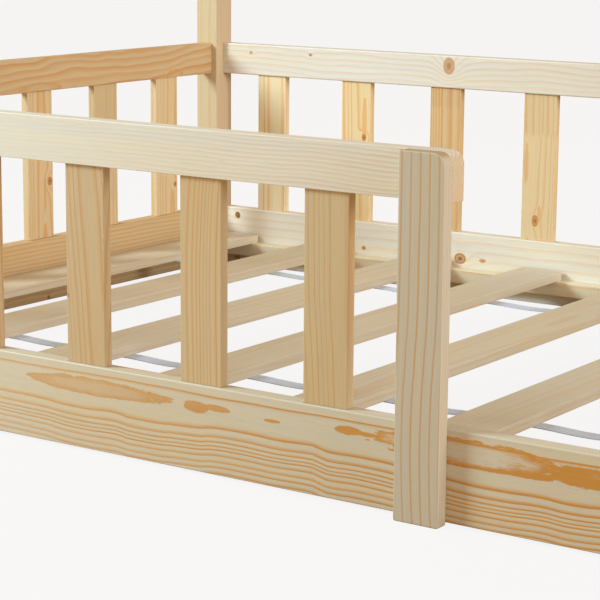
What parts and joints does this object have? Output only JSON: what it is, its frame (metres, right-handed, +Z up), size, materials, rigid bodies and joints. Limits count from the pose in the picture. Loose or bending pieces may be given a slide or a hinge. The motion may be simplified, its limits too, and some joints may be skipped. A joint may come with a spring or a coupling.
{
  "type": "toddler floor bed",
  "caption": "Solid pine toddler floor bed with low slatted base, baluster fences, a half-length front guard leaving an entrance, and a gabled house frame on four corner posts.",
  "frame": {"origin": "middle of the bed's footprint, the guard's end post included, on the floor", "axes": "+X along the bed from the end beside the front guard towards the entrance end, +Y from the open front to the rear fence, +Z up"},
  "size_m": [2.085, 0.998, 1.4839],
  "materials": {
    "pine": "planed and sanded solid pine under a thin clear satin lacquer",
    "slat_pine": "planed pine, unfinished",
    "webbing": "woven grey webbing tape",
    "zinc_steel": "bright zinc plate",
    "brass": "yellow passivated"
  },
  "bodies": {
    "root": {"barrel_nuts": "brass", "corner_bolts": "zinc_steel", "eaves_rail_front": "pine", "eaves_rail_rear": "pine", "end_guard_left": "pine", "end_guard_right": "pine", "end_rail_left": "pine", "end_rail_right": "pine", "front_baluster_1": "pine", "front_baluster_2": "pine", "front_baluster_3": "pine", "front_baluster_4": "pine", "front_baluster_5": "pine", "front_baluster_6": "pine", "guard_end_post": "pine", "ledge_front": "slat_pine", "ledge_rear": "slat_pine", "left_baluster_1": "pine", "left_baluster_2": "pine", "left_baluster_3": "pine", "left_baluster_4": "pine", "left_baluster_5": "pine", "left_baluster_6": "pine", "post_front_left": "pine", "post_front_right": "pine", "post_rear_left": "pine", "post_rear_right": "pine", "rafter_front_left": "pine", "rafter_front_right": "pine", "rafter_rear_left": "pine", "rafter_rear_right": "pine", "rear_balusters": "pine", "ridge_beam": "pine", "right_baluster_1": "pine", "right_baluster_2": "pine", "right_baluster_3": "pine", "right_baluster_4": "pine", "right_baluster_5": "pine", "right_baluster_6": "pine", "side_guard_front": "pine", "side_guard_rear": "pine", "side_rail_front": "pine", "side_rail_rear": "pine", "slat_1": "slat_pine", "slat_10": "slat_pine", "slat_11": "slat_pine", "slat_12": "slat_pine", "slat_2": "slat_pine", "slat_3": "slat_pine", "slat_4": "slat_pine", "slat_5": "slat_pine", "slat_6": "slat_pine", "slat_7": "slat_pine", "slat_8": "slat_pine", "slat_9": "slat_pine", "tape_front": "webbing", "tape_rear": "webbing"}
  },
  "joints": []
}
